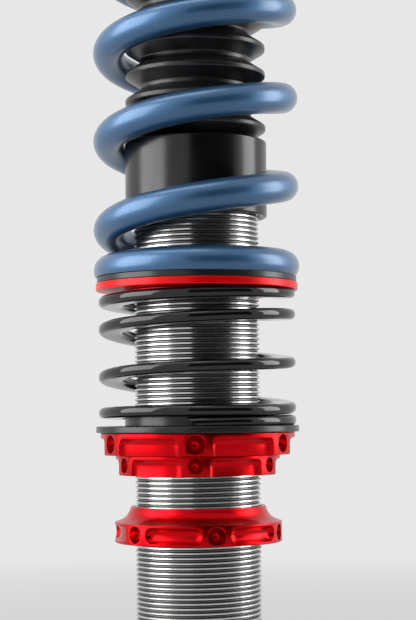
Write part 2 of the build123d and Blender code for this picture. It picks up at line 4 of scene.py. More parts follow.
import bpy
from bpy.props import FloatProperty, FloatVectorProperty, IntProperty, PointerProperty
from bpy.types import Operator, Panel, PropertyGroup
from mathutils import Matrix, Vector

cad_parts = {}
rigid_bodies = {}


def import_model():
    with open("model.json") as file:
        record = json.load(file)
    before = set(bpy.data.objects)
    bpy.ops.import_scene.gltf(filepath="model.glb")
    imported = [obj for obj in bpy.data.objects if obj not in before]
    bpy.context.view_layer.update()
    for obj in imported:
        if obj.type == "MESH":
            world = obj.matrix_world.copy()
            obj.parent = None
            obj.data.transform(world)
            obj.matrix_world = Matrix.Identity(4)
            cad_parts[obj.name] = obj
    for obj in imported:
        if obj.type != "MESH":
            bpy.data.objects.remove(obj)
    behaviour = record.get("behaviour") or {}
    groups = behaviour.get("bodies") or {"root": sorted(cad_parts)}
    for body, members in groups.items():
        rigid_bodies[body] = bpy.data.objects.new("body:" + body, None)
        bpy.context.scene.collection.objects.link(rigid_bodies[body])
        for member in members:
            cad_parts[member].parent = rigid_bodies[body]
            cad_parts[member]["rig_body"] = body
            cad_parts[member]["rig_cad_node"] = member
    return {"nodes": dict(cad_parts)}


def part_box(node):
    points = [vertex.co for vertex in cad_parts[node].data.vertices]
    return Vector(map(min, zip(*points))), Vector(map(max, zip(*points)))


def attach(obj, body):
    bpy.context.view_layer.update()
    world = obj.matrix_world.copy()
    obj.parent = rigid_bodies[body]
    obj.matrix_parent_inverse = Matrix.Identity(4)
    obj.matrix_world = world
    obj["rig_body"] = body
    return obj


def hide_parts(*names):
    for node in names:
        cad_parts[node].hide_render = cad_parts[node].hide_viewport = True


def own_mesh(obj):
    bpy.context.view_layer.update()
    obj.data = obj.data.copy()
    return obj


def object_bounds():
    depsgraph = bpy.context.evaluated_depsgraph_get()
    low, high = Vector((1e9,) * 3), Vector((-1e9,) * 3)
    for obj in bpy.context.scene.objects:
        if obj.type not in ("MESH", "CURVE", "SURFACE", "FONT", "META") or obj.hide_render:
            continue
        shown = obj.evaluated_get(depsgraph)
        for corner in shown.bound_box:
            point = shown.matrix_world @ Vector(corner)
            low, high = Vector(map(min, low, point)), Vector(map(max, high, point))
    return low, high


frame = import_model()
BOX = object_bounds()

bl_info = {
    "name": "Coilover",
    "version": (1, 0, 0),
    "blender": (4, 5, 0),
    "location": "View3D > Sidebar > Coilover",
    "description": "Models and finishes a height-adjustable coilover on its fixed frame",
    "category": "Object",
}

UP = (0, 0, 1)
ORIGIN = (0, 0, 0)
HAIR = 1e-7  # points closer than this are one point
COIL_STEPS = 72  # steps in one turn of a spring
RING_PLAY = 0.00008  # between the body's crests and the bore of a collar
DONE = {"FINISHED"}  # what a step that went well returns


# --- sizes and colours

def low(node):
    """Level of a node's lowest point."""
    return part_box(node)[0].z


def high(node):
    """Level of a node's highest point."""
    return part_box(node)[1].z


def levels(node):
    """Levels of a node's lowest and highest points."""
    return low(node), high(node)


def reach(node):
    """Radius of a round node, measured across Y."""
    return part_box(node)[1].y


def half_width(node):
    """Half of a node's width across X."""
    return (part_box(node)[1].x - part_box(node)[0].x) / 2


def length_property(name, description, default):
    return FloatProperty(
        name=name, description=description, default=default, min=0.0, unit="LENGTH", precision=4
    )


def turns_property(name, default):
    return FloatProperty(name=name, description="Turns from tip to tip", default=default, min=1.0)


def colour_property(name, description, default):
    return FloatVectorProperty(
        name=name, description=description, default=default, min=0.0, max=1.0, size=3,
        subtype="COLOR",
    )


class CoiloverSizes(PropertyGroup):
    thread_pitch: length_property("Thread pitch", "From crest to crest on the damper body", 0.002)
    thread_depth: length_property("Thread depth", "From the body's crests to its roots", 0.00115)
    edge_round: length_property("Edge rounding", "Radius on the edges of the seats", 0.0004)
    main_wire: length_property("Main spring wire", "Diameter of the main spring's wire", 0.0128)
    main_turns: turns_property("Main spring turns", 6.5)
    helper_width: length_property("Helper wire width", "Radial width of its flat wire", 0.0106)
    helper_height: length_property("Helper wire height", "Height of its flat wire", 0.0045)
    helper_turns: turns_property("Helper turns", 4.278)
    nose_radius: length_property("Cutter nose", "Radius of the cutter that makes the slots", 0.0027)
    boot_ribs: IntProperty(name="Boot ribs", description="Folds of the boot", default=12, min=1)
    stud_pitch: length_property("Stud pitch", "Thread pitch of the top mount's studs", 0.00125)


class CoiloverColours(PropertyGroup):
    spring_blue: colour_property("Spring blue", "Lacquer on the main spring", (0.029, 0.111, 0.240))
    anodised_red: colour_property("Anodised red", "Dye on the collars", (0.60, 0.002, 0.006))
    ring_red: colour_property("Ring red", "Coat on the divider ring", (0.92, 0.001, 0.003))
    plated_steel: colour_property("Plated steel", "Plating on the body", (0.70, 0.70, 0.69))
    gloss_black: colour_property("Gloss black", "Lacquer on the helper", (0.005, 0.005, 0.006))
    seat_black: colour_property("Seat black", "Coat on the spring seats", (0.009, 0.009, 0.010))
    rubber_black: colour_property("Rubber black", "Moulded rubber", (0.009, 0.009, 0.010))


def sizes():
    return bpy.context.scene.coilover_sizes


def colours():
    return bpy.context.scene.coilover_colours


# --- modelling by hand

def leave_edit():
    bpy.ops.object.mode_set(mode="OBJECT")


def deselect_all():
    if bpy.context.mode != "OBJECT":
        leave_edit()
    bpy.ops.object.select_all(action="DESELECT")


def only(obj):
    """Selects one object and makes it the active one."""
    deselect_all()
    obj.select_set(True)
    bpy.context.view_layer.objects.active = obj
    return obj


def named(obj, name):
    obj.name = obj.data.name = name
    return obj


def settled(name):
    """Names the new primitive, and puts its place into its mesh."""
    obj = only(named(bpy.context.active_object, name))
    bpy.ops.object.transform_apply()
    return obj


def edit(obj, everything=True):
    """Opens an object in edit mode, with all or nothing of it selected."""
    only(obj)
    bpy.ops.object.mode_set(mode="EDIT")
    bpy.ops.mesh.select_mode(type="VERT")
    bpy.ops.mesh.select_all(action="SELECT" if everything else "DESELECT")


def select_where(obj, test):
    """In edit mode, selects the vertices that pass a test."""
    edit(obj, everything=False)
    leave_edit()
    for vertex in obj.data.vertices:
        vertex.select = test(vertex)
    bpy.ops.object.mode_set(mode="EDIT")


def select_level(obj, level):
    """In edit mode, selects the vertices at a level."""
    select_where(obj, lambda vertex: abs(vertex.co.z - level) < 1e-6)


def closed_up(obj, gap=HAIR):
    """Merges what meets and turns every face outwards."""
    edit(obj)
    bpy.ops.mesh.remove_doubles(threshold=gap)
    bpy.ops.mesh.normals_make_consistent(inside=False)
    leave_edit()
    return obj


def ring(name, radius, level, segments):
    deselect_all()
    bpy.ops.mesh.primitive_circle_add(vertices=segments, radius=radius, location=(0, 0, level))
    return settled(name)


def lifted(*step):
    """Extrudes what is selected by a step."""
    bpy.ops.mesh.extrude_region_move(TRANSFORM_OT_translate={"value": step})


def raised(radius, level, new_radius, new_level):
    """Extrudes the selected ring to a new level and radius."""
    lifted(0, 0, new_level - level)
    if new_radius != radius:
        scale = new_radius / radius
        bpy.ops.transform.resize(value=(scale, scale, 1), center_override=(0, 0, new_level))


def turned(name, outline, segments=128):
    """A closed shape turned about Z: its outline is a loop of (radius, level) corners."""
    obj = ring(name, *outline[0], segments)
    edit(obj)
    for corner, following in zip(outline, outline[1:] + outline[:1]):
        raised(*corner, *following)
    return closed_up(obj, 1e-6)


def applied(obj, kind, **settings):
    """Adds a modifier with these settings and applies it."""
    only(obj)
    modifier = obj.modifiers.new(kind.title(), kind)
    for key, value in settings.items():
        setattr(modifier, key, value)
    bpy.ops.object.modifier_apply(modifier=modifier.name)
    return obj


def eased(obj, width, segments=3, angle=32):
    """Rounds every edge sharper than an angle."""
    applied(
        obj, "BEVEL", width=width, segments=segments, limit_method="ANGLE",
        angle_limit=radians(angle), miter_outer="MITER_ARC",
    )
    return closed_up(obj)


def smooth(obj, angle=35):
    only(obj)
    bpy.ops.object.shade_smooth_by_angle(angle=radians(angle))
    return obj


def smooth_flats(obj, angle=35):
    """Smooth shading that keeps the wide faces flat."""
    smooth(obj, angle)
    return applied(obj, "WEIGHTED_NORMAL", keep_sharp=True, weight=50)


def joined(name, parts):
    deselect_all()
    for part in parts:
        part.select_set(True)
    bpy.context.view_layer.objects.active = parts[0]
    if len(parts) > 1:
        bpy.ops.object.join()
    return named(parts[0], name)


def copied(obj, angle):
    """A copy with its own mesh, turned about Z by an angle in degrees."""
    only(obj)
    bpy.ops.object.duplicate()
    bpy.ops.transform.rotate(value=-radians(angle), orient_axis="Z", center_override=ORIGIN)
    bpy.ops.object.transform_apply()
    return bpy.context.active_object


def around(obj, count, start=0.0):
    """Turns an object into its copies, spaced evenly about Z from a starting angle."""
    copies = [copied(obj, start + 360 * i / count) for i in range(count)]
    bpy.data.objects.remove(obj)
    return copies


def cut(obj, cutters):
    """Takes the cutters' space out of an object."""
    tool = joined("cutter", cutters)
    applied(obj, "BOOLEAN", object=tool, operation="DIFFERENCE", solver="EXACT", use_self=True)
    bpy.data.objects.remove(tool)
    return obj


def sliced(place, facing, **settings):
    """Cuts what is selected along a plane, exactly."""
    bpy.ops.mesh.bisect(plane_co=place, plane_no=facing, threshold=HAIR, **settings)


def trimmed(obj, level, keep_above):
    """Cuts an object off flat at a level and closes the cut."""
    edit(obj)
    sliced((0, 0, level), UP, use_fill=True, clear_inner=keep_above, clear_outer=not keep_above)
    leave_edit()


def merged_copy(node_name, name):
    """A CAD node's copy as one closed mesh with its flat faces whole."""
    only(frame["nodes"][node_name])
    bpy.ops.object.duplicate()
    copy = named(bpy.context.active_object, name)
    bpy.ops.object.parent_clear(type="CLEAR_KEEP_TRANSFORM")
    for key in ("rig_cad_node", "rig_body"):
        del copy[key]
    edit(copy)
    bpy.ops.mesh.customdata_custom_splitnormals_clear()
    bpy.ops.mesh.remove_doubles(threshold=2e-6)
    bpy.ops.mesh.dissolve_limited(angle_limit=radians(0.5))
    bpy.ops.mesh.normals_make_consistent(inside=False)
    leave_edit()
    return copy


def frame_body(node_name):
    """The body that a CAD node rides on."""
    return frame["nodes"][node_name]["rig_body"]


def dressed(obj, finish_name):
    """Gives an object one finish all over."""
    obj.data.materials.clear()
    obj.data.materials.append(finished(finish_name))


def placed(obj, body, finish_name, node_name):
    """Gives a piece its finish and its body, and hides the CAD node that it stands for."""
    dressed(obj, finish_name)
    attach(obj, body)
    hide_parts(node_name)


def eased_copy(node_name, name, width, finish_name, angle=35, smoothing=35):
    """Puts a CAD node's copy in its place, with its edges rounded."""
    piece = smooth_flats(eased(merged_copy(node_name, name), width, 3, angle), smoothing)
    placed(piece, frame_body(node_name), finish_name, node_name)


def shortens(obj):
    """Gives a piece its own copy of its mesh."""
    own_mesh(obj)


# --- effects shared by finishes

def node(tree, kind, inputs=None, **settings):
    """A new node, each of its inputs set to a value or linked to an output."""
    made = tree.nodes.new(kind)
    for key, value in settings.items():
        setattr(made, key, value)
    for key, value in (inputs or {}).items():
        if isinstance(value, bpy.types.NodeSocket):
            link(tree, value, made.inputs[key])
        else:
            made.inputs[key].default_value = value
    return made


def link(tree, source, target):
    tree.links.new(source, target)


def maths(tree, operation, *values):
    return node(tree, "ShaderNodeMath", dict(enumerate(values)), operation=operation).outputs[0]


def spread(tree, *values):
    """Maps a value from a low and a high to a new low and high."""
    return node(tree, "ShaderNodeMapRange", dict(enumerate(values))).outputs["Result"]


def group(name, inputs, *outputs):
    """A node group with number sockets: the group, its inputs, its outputs and its place."""
    made = bpy.data.node_groups.new(name, "ShaderNodeTree")
    kind = "NodeSocketFloat"
    for label, default in inputs.items():
        socket = made.interface.new_socket(name=label, in_out="INPUT", socket_type=kind)
        socket.default_value = default
    for label in outputs:
        made.interface.new_socket(name=label, in_out="OUTPUT", socket_type=kind)
    given, out = node(made, "NodeGroupInput"), node(made, "NodeGroupOutput")
    return made, given.outputs, out.inputs, node(made, "ShaderNodeTexCoord").outputs["Object"]


def radius_at(tree, place):
    """How far a place lies from Z."""
    flat = node(tree, "ShaderNodeVectorMath", {0: place, 1: (1, 1, 0)}, operation="MULTIPLY")
    flat = flat.outputs["Vector"]
    return node(tree, "ShaderNodeVectorMath", {0: flat}, operation="LENGTH").outputs["Value"]


def speckle():
    """Fine grain all over a surface, as a height from 0 to 1."""
    made, given, out, place = group("Speckle", {"Scale": 1500.0}, "Height")
    settings = {"Detail": 3.0, "Vector": place, "Scale": given["Scale"]}
    noise = node(made, "ShaderNodeTexNoise", settings)
    link(made, noise.outputs["Fac"], out["Height"])
    return made


def smudges():
    """Slow, soft patches of handling and dust, from 0 to 1."""
    made, given, out, place = group("Smudges", {"Scale": 40.0}, "Mask")
    settings = {"Detail": 4.0, "Distortion": 0.6, "Vector": place, "Scale": given["Scale"]}
    noise = node(made, "ShaderNodeTexNoise", settings)
    link(made, spread(made, noise.outputs["Fac"], 0.38, 0.66, 0.0, 1.0), out["Mask"])
    return made


def turning_marks():
    """The fine rings that a lathe leaves round Z, as a height from 0 to 1."""
    made, given, out, place = group("Turning marks", {"Rings per metre": 4000.0}, "Height")
    level = node(made, "ShaderNodeSeparateXYZ", {0: place}).outputs["Z"]
    along = maths(made, "ADD", radius_at(made, place), level)
    settings = {"Detail": 2.0, "W": along, "Scale": given["Rings per metre"]}
    noise = node(made, "ShaderNodeTexNoise", settings, noise_dimensions="1D")
    link(made, noise.outputs["Fac"], out["Height"])
    return made


def from_axis():
    """How far out a surface lies from Z, from 0 to 1 between two radii."""
    made, given, out, place = group("From axis", {"From": 0.0, "To": 1.0}, "Share")
    share = spread(made, radius_at(made, place), given["From"], given["To"], 0.0, 1.0)
    link(made, share, out["Share"])
    return made


def flakes():
    """Metal flakes or foam cells: a brightness and a height for each small cell."""
    made, given, out, place = group("Flakes", {"Cells per metre": 2600.0}, "Brightness", "Height")
    settings = {"Vector": place, "Scale": given["Cells per metre"]}
    cells = node(made, "ShaderNodeTexVoronoi", settings)
    parts = node(made, "ShaderNodeSeparateColor", {0: cells.outputs["Color"]}).outputs
    link(made, parts["Red"], out["Brightness"])
    link(made, parts["Green"], out["Height"])
    return made


EFFECTS = {}


def effect(tree, make, **values):
    """Places a shared effect in a material, with its own values, and gives its outputs."""
    if make.__name__ not in EFFECTS:
        EFFECTS[make.__name__] = make()
    given = {key.replace("_", " "): value for key, value in values.items()}
    return node(tree, "ShaderNodeGroup", given, node_tree=EFFECTS[make.__name__]).outputs


# --- finishes

def finish(name, colour, **settings):
    """A new material, its tree and the inputs of its shader, with the plain values set."""
    made = bpy.data.materials.new(name)
    made.use_nodes = True
    tree = made.node_tree
    shader = tree.nodes["Principled BSDF"].inputs
    shader["Base Color"].default_value = (*colour, 1)
    for key, value in settings.items():
        shader[key.replace("_", " ")].default_value = value
    return made, tree, shader


def bumped(tree, shader, height, distance, strength=1.0):
    """Relief from a height, in metres from 0 to 1 of it."""
    given = {"Strength": strength, "Distance": distance, "Height": height}
    link(tree, node(tree, "ShaderNodeBump", given).outputs["Normal"], shader["Normal"])


def shaded(tree, shader, mask, colour, dark, light):
    """Base colour that runs by a mask between two shares of itself."""
    ends = [tuple(min(1.0, c * share) for c in colour) + (1,) for share in (dark, light)]
    given = {"A": ends[0], "B": ends[1], "Factor": mask}
    mix = node(tree, "ShaderNodeMix", given, data_type="RGBA")
    link(tree, mix.outputs["Result"], shader["Base Color"])


def roughened(tree, shader, mask, smoothest, roughest, first=0, last=1):
    """Roughness that runs by a mask between two values."""
    link(tree, spread(tree, mask, first, last, smoothest, roughest), shader["Roughness"])


def plated_steel(name):
    """Bright plating on a rolled thread, polished on its crests, duller in its roots and darkened
    there with painted shade.
    """
    colour, crest = colours().plated_steel, reach("threaded_body")
    made, tree, shader = finish(name, colour, Metallic=1.0)
    patches = effect(tree, smudges, Scale=60.0)["Mask"]
    height = effect(tree, from_axis, From=crest - sizes().thread_depth, To=crest)["Share"]
    # painted shade: the base colour darkens to a quarter of itself towards the thread's roots
    shaded(tree, shader, maths(tree, "POWER", height, 1.3), colour, 0.24, 1)
    worn = maths(tree, "MULTIPLY", patches, 0.05)
    polish = spread(tree, height, 0, 1, 0.34, 0.17)
    link(tree, maths(tree, "ADD", polish, worn), shader["Roughness"])
    return made


def spring_lacquer(name):
    """Satin steel-blue lacquer with fine metal flake."""
    colour = colours().spring_blue
    made, tree, shader = finish(
        name, colour, Metallic=0.80, Coat_Weight=1.00, Coat_Roughness=0.25
    )
    cells = effect(tree, flakes, Cells_per_metre=4200.0)
    shaded(tree, shader, cells["Brightness"], colour, 0.80, 1.22)
    roughened(tree, shader, effect(tree, smudges, Scale=35.0)["Mask"], 0.45, 0.52)
    bumped(tree, shader, cells["Height"], 0.000004, 0.5)
    return made


def buffer_foam(name):
    """Closed-cell foam with its skin on."""
    colour = (0.52, 0.43, 0.22)
    made, tree, shader = finish(name, colour, Specular_IOR_Level=0.25)
    cells = effect(tree, flakes, Cells_per_metre=900.0)
    roughened(tree, shader, cells["Brightness"], 0.7, 0.85)
    shaded(tree, shader, cells["Brightness"], colour, 0.8, 1.15)
    bumped(tree, shader, cells["Height"], 0.00006, 0.5)
    return made


def coat(name, colour, gloss, tones, patch_scale, grain_scale, depth, strength=1.0, **settings):
    """A coat with slow patches in its colour and gloss, and a fine even relief."""
    made, tree, shader = finish(name, colour, **settings)
    patches = effect(tree, smudges, Scale=patch_scale)["Mask"]
    roughened(tree, shader, patches, *gloss)
    shaded(tree, shader, patches, colour, *tones)
    bumped(tree, shader, effect(tree, speckle, Scale=grain_scale)["Height"], depth, strength)
    return made


def black_lacquer(name, colour, roughness, waviness):
    """Black lacquer with a little orange peel."""
    gloss = (roughness, roughness * 1.35)
    return coat(name, colour, gloss, (0.85, 1.3), 50.0, 700.0, waviness, Specular_IOR_Level=0.5)


def moulded_rubber(name):
    """Matt black rubber with a fine moulded grain and a trace of bloom."""
    return coat(
        name, colours().rubber_black, (0.26, 0.36), (0.8, 1.6), 70.0, 2200.0, 0.000005, 0.5,
        Specular_IOR_Level=0.5,
    )


def powder_coat(name, colour, roughness, grain_height):
    """A coated forging: a fine even texture with a low sheen."""
    return coat(
        name, colour, (roughness, roughness * 1.25), (0.85, 1.3), 45.0, 1400.0, grain_height,
        Metallic=0.35, Coat_Weight=0.15, Coat_Roughness=0.3,
    )


def machined(name, colour, gloss, tones, patch_scale, rings_per_metre, depth, **settings):
    """A metal off the lathe, with fine turning marks."""
    made, tree, shader = finish(name, colour, **settings)
    patches = effect(tree, smudges, Scale=patch_scale)["Mask"]
    rings = effect(tree, turning_marks, Rings_per_metre=rings_per_metre)["Height"]
    roughened(tree, shader, rings, *gloss, first=0.3, last=0.7)
    shaded(tree, shader, patches, colour, *tones)
    bumped(tree, shader, rings, depth)
    return made


def red_finish(name, colour, **settings):
    """Satin red on turned aluminium."""
    gloss, tones = (0.25, 0.33), (0.9, 1.05)
    return machined(name, colour, gloss, tones, 45.0, 5200.0, 0.000003, **settings)


def bare_metal(name, colour, roughness, rings_per_metre=5000.0):
    gloss, tones = (roughness, roughness * 1.45), (0.88, 1.06)
    return machined(name, colour, gloss, tones, 55.0, rings_per_metre, 0.000004, Metallic=1.0)


FINISHES = {
    "plated_steel": plated_steel,
    "spring_lacquer": spring_lacquer,
    "moulded_rubber": moulded_rubber,
    "buffer_foam": buffer_foam,
    "anodised_red": lambda name: red_finish(
        name, colours().anodised_red, Metallic=1.0, Coat_Weight=0.06, Coat_Roughness=0.15
    ),
    "ring_red": lambda name: red_finish(
        name, colours().ring_red, Metallic=0.30, Specular_IOR_Level=0.30
    ),
    "gloss_black": lambda name: black_lacquer(name, colours().gloss_black, 0.075, 0.000004),
    "sleeve_black": lambda name: black_lacquer(name, colours().gloss_black, 0.20, 0.000003),
    "seat_black": lambda name: black_lacquer(name, colours().seat_black, 0.24, 0.000004),
    "seal_plastic": lambda name: black_lacquer(name, (0.03, 0.03, 0.03), 0.40, 0.000006),
    "mount_steel": lambda name: powder_coat(name, (0.030, 0.030, 0.032), 0.34, 0.00002),
    "plate_alloy": lambda name: powder_coat(name, (0.022, 0.022, 0.024), 0.38, 0.000012),
    "plain_steel": lambda name: bare_metal(name, (0.46, 0.45, 0.44), 0.26),
    "zinc": lambda name: bare_metal(name, (0.60, 0.60, 0.58), 0.24),
    "hard_chrome": lambda name: bare_metal(name, (0.56, 0.56, 0.57), 0.10, 9000.0),
    "piston_alloy": lambda name: bare_metal(name, (0.62, 0.62, 0.63), 0.28),
}


def finished(name):
    """A finish by name, made the first time that it's asked for."""
    return bpy.data.materials.get(name) or FINISHES[name](name)


# --- threads

def thread_skin(name, crest, root, pitch, start, end, steps):
    """The outside of a right-hand thread up Z, cut flat at both ends and left open there."""
    flat, floor = pitch * 0.26, pitch * 0.16
    flank = (pitch - flat - floor) / 2
    first = start - (2 + 0.25 / steps) * pitch
    deselect_all()
    bpy.ops.mesh.primitive_plane_add(size=pitch, location=(root, 0, first))
    obj = settled(name)
    edit(obj)
    bpy.ops.mesh.merge(type="CENTER")
    for out, up in ((crest - root, flank), (0, flat), (root - crest, flank), (0, floor)):
        lifted(out, 0, up)
    applied(
        obj, "SCREW", axis="Z", angle=2 * pi, screw_offset=pitch,
        iterations=int((end - start) / pitch) + 4, steps=steps, render_steps=steps,
        use_smooth_shade=False,
    )
    edit(obj)
    bpy.ops.mesh.remove_doubles(threshold=pitch / 200)
    bpy.ops.mesh.select_all(action="SELECT")
    sliced((0, 0, start), UP, clear_inner=True)
    bpy.ops.mesh.select_all(action="SELECT")
    sliced((0, 0, end), UP, clear_outer=True)
    leave_edit()
    return obj


def bridged(obj, *levels):
    """Closes the gap between the two open rings at each level."""
    for level in levels:
        select_level(obj, level)
        bpy.ops.mesh.bridge_edge_loops()
    return closed_up(obj)


def threaded_rod(name, crest, root, pitch, start, end, steps):
    """A solid threaded rod with a coned tip above and a flat end below."""
    cone, tip = end - pitch / 2, crest * 0.84
    obj = thread_skin(name, crest, root, pitch, start, cone, steps)
    select_level(obj, cone)
    raised(crest, cone, tip, end)
    bpy.ops.mesh.edge_face_add()
    select_level(obj, start)
    bpy.ops.mesh.edge_face_add()
    return closed_up(obj)


class COILOVER_OT_threaded_body(Operator):
    """Models the damper body, threaded all the way over its smooth bore"""
    bl_idname = "coilover.threaded_body"
    bl_label = "Threaded body"

    def execute(self, context):
        given = sizes()
        bottom, top = levels("threaded_body")
        crest, play = reach("threaded_body"), 0.00005
        root, bore = crest - given.thread_depth, reach("gland_nut") + play
        skin = thread_skin("body_thread", crest, root, given.thread_pitch, bottom, top, 72)
        inside = ring("bore", bore, bottom, 96)
        edit(inside)
        raised(bore, bottom, bore, top)
        body = bridged(joined("body_thread", [skin, inside]), bottom, top)
        placed(smooth(body, 30), "damper_body", "plated_steel", "threaded_body")
        return DONE


# --- springs

def coil_levels(turns, length, tip, low_end, high_end):
    """Heights of a coil's centre line at even steps, its changes of pitch eased a little.

    The wire starts and ends at the tip's height, and each end is its turns and their rise."""
    corners = [
        (0.0, tip), (low_end[0], tip + low_end[0] * low_end[1]),
        (turns - high_end[0], length - tip - high_end[0] * high_end[1]), (turns, length - tip),
    ]

    def level(turn):
        for (first, under), (last, over) in zip(corners, corners[1:]):
            if turn <= last or last == turns:
                return under + (turn - first) * (over - under) / (last - first)

    heights = []
    steps = round(turns * COIL_STEPS)
    for i in range(steps + 1):
        span = min(COIL_STEPS // 10, i, steps - i)
        near = [level((i + k) / COIL_STEPS) for k in range(-span, span + 1)]
        heights.append(sum(near) / len(near))
    return heights


def bearings(start, heights):
    """The bearing of each step of a coil that starts at an angle in degrees."""
    return [radians(start) + 2 * pi * i / COIL_STEPS for i in range(len(heights))]


def leaning(heights, start, to_left, to_back):
    """A free coil's lean: its middle sits lower on one side, and its ends stay level."""
    length = heights[-1]
    return [
        height - (to_left * cos(angle) + to_back * sin(angle)) * sin(pi * height / length)
        for height, angle in zip(heights, bearings(start, heights))
    ]


def line_through(obj, points):
    """Gives a curve one line through these points."""
    obj.data.splines.clear()
    line = obj.data.splines.new("POLY")
    line.points.add(len(points) - 1)
    for point, place in zip(line.points, points):
        point.co = (*place, 1)
    return line


def coil(radius, start, bottom, heights):
    """A curve that climbs round Z through these heights."""
    deselect_all()
    bpy.ops.curve.primitive_nurbs_path_add()
    obj = bpy.context.active_object
    line_through(obj, [
        (radius * cos(angle), radius * sin(angle), bottom + height)
        for height, angle in zip(heights, bearings(start, heights))
    ])
    obj.data.dimensions = "3D"
    obj.data.twist_mode = "Z_UP"
    return obj


def wire_section(width, height, rounding, steps):
    """A flat wire's section as a closed curve, its edges rounded."""
    deselect_all()
    bpy.ops.curve.primitive_nurbs_circle_add()
    obj = bpy.context.active_object
    across, up = width / 2 - rounding, height / 2 - rounding
    points = []
    for x, y, first in (across, up, 0), (-across, up, 90), (-across, -up, 180), (across, -up, 270):
        for i in range(steps + 1):
            angle = radians(first + 90 * i / steps)
            points.append((x + rounding * cos(angle), y + rounding * sin(angle), 0))
    line_through(obj, points).use_cyclic_u = True
    return obj


def nosed(spring, corners, place, facing):
    """Closes a coil's last end flat, and cuts its first end off on a slant."""
    last = len(spring.data.vertices) - corners
    select_where(spring, lambda vertex: vertex.index >= last)
    bpy.ops.mesh.edge_face_add()
    select_where(spring, lambda vertex: vertex.index < 6 * corners)
    sliced(place, facing, clear_outer=True)
    bpy.ops.mesh.fill()
    leave_edit()


def wound(obj, name, bottom, top, nose=None):
    """A coil's curve made a mesh, with both its ends ground flat."""
    obj.data.use_fill_caps = nose is None
    only(obj)
    bpy.ops.object.convert(target="MESH")
    spring = named(bpy.context.active_object, name)
    if nose:
        nosed(spring, *nose)
    closed_up(spring)
    trimmed(spring, bottom, keep_above=True)
    trimmed(spring, top, keep_above=False)
    return smooth(closed_up(spring), 40)


class COILOVER_OT_main_spring(Operator):
    """Winds the main spring from round wire and grinds its ends flat"""
    bl_idname = "coilover.main_spring"
    bl_label = "Main spring"

    def execute(self, context):
        given = sizes()
        bottom, top = levels("main_spring")
        start, tip, closed = 151.0, 0.00244, (0.685, 0.0032)
        heights = coil_levels(given.main_turns, top - bottom, tip, closed, closed)
        path = coil(half_width("main_spring") - given.main_wire / 2, start, bottom, heights)
        path.data.bevel_depth = given.main_wire / 2
        path.data.bevel_resolution = 8
        spring = wound(path, "coil_main", bottom, top)
        placed(spring, "divider", "spring_lacquer", "main_spring")
        shortens(spring)
        return DONE


class COILOVER_OT_helper_spring(Operator):
    """Winds the helper spring from flat wire with rounded edges"""
    bl_idname = "coilover.helper_spring"
    bl_label = "Helper spring"

    def execute(self, context):
        given = sizes()
        bottom, top = low("helper_spring"), low("divider_washer") - 0.003
        radius = (reach("spring_seat") - 0.0011) - given.helper_width / 2
        start, tip, nose = -100.0, 0.0012, 0.0044
        low_end, high_end = (1.2, 0.0047), (1.1, 0.008)
        heights = coil_levels(given.helper_turns, top - bottom, tip, low_end, high_end)
        heights = leaning(heights, start, to_left=0.0020, to_back=0.0005)
        path = coil(radius, start, bottom, heights)
        width, height = given.helper_width, given.helper_height
        section = wire_section(width, height, height * 0.44, 5)
        path.data.bevel_mode = "OBJECT"
        path.data.bevel_object = section
        corners = len(section.data.splines[0].points)
        upright = tip + height / 2
        slant = (corners, (-nose / 2, 0, bottom + upright / 2), (-upright, 0, -nose))
        spring = wound(path, "coil_helper", bottom, top, slant)
        bpy.data.objects.remove(section)
        placed(spring, "spring_seat", "gloss_black", "helper_spring")
        shortens(spring)
        return DONE


# --- collars

def round_grip(rim, level, diameter, depth):
    """A ball-nosed cutter for one round grip, driven in at the front of a rim."""
    deselect_all()
    bpy.ops.mesh.primitive_uv_sphere_add(
        segments=40, ring_count=20, radius=diameter / 2, location=(0, -rim, level),
        rotation=(pi / 2, 0, 0),
    )
    cutter = settled("round_grip")
    edit(cutter)
    squeeze = (1, 2 * depth / diameter, 1)
    bpy.ops.transform.resize(value=squeeze, center_override=(0, -rim, level))
    leave_edit()
    return cutter


def slot_grip(rim, depth, nose, half_span, bottom, top):
    """A ball-nosed cutter that has swept along the front of a rim between two levels."""
    centre = rim - depth + nose
    upper, lower = top - nose, bottom + nose
    span = 2 * (radians(half_span) - nose / centre)
    deselect_all()
    bpy.ops.mesh.primitive_circle_add(
        vertices=24, radius=nose, location=(centre, 0, upper), rotation=(pi / 2, 0, 0)
    )
    obj = settled("slot_grip")
    for vertex in obj.data.vertices:
        if vertex.co.z < upper - nose / 100:
            vertex.co.z += lower - upper
    edit(obj)
    bpy.ops.mesh.spin(steps=14, angle=-span, center=ORIGIN, axis=UP)
    rounded_end(obj, centre, 0, pi)
    rounded_end(obj, centre, span, -pi)
    closed_up(obj, nose / 500)
    return turned_to(obj, -90 - span * 90 / pi)


def rounded_end(obj, centre, angle, turn):
    """Closes one end of the swept cutter: half of its section turns about its own middle."""
    outward = Vector((cos(angle), sin(angle), 0))
    middle, near = centre * outward, centre * 1e-5

    def outer_half(vertex):
        offset = Vector((vertex.co.x, vertex.co.y, 0)) - middle
        along = offset.dot(outward)
        return (offset - along * outward).length < near and along > -near

    select_where(obj, outer_half)
    bpy.ops.mesh.spin(steps=8, angle=turn, center=middle, axis=UP)
    leave_edit()


def turned_to(obj, angle):
    """Turns an object about Z by an angle in degrees."""
    return around(obj, 1, angle)[0]


def gripped(blank, rim, level, hole, slot, phase):
    """Cuts six round grips with slots between them into a rim, and rounds what is left."""
    holes = around(round_grip(rim, level, *hole), 6, phase)
    slots = around(slot_grip(rim, *slot), 6, phase + 30)
    return smooth(eased(cut(blank, holes + slots), 0.00016, 2, 30), 28)


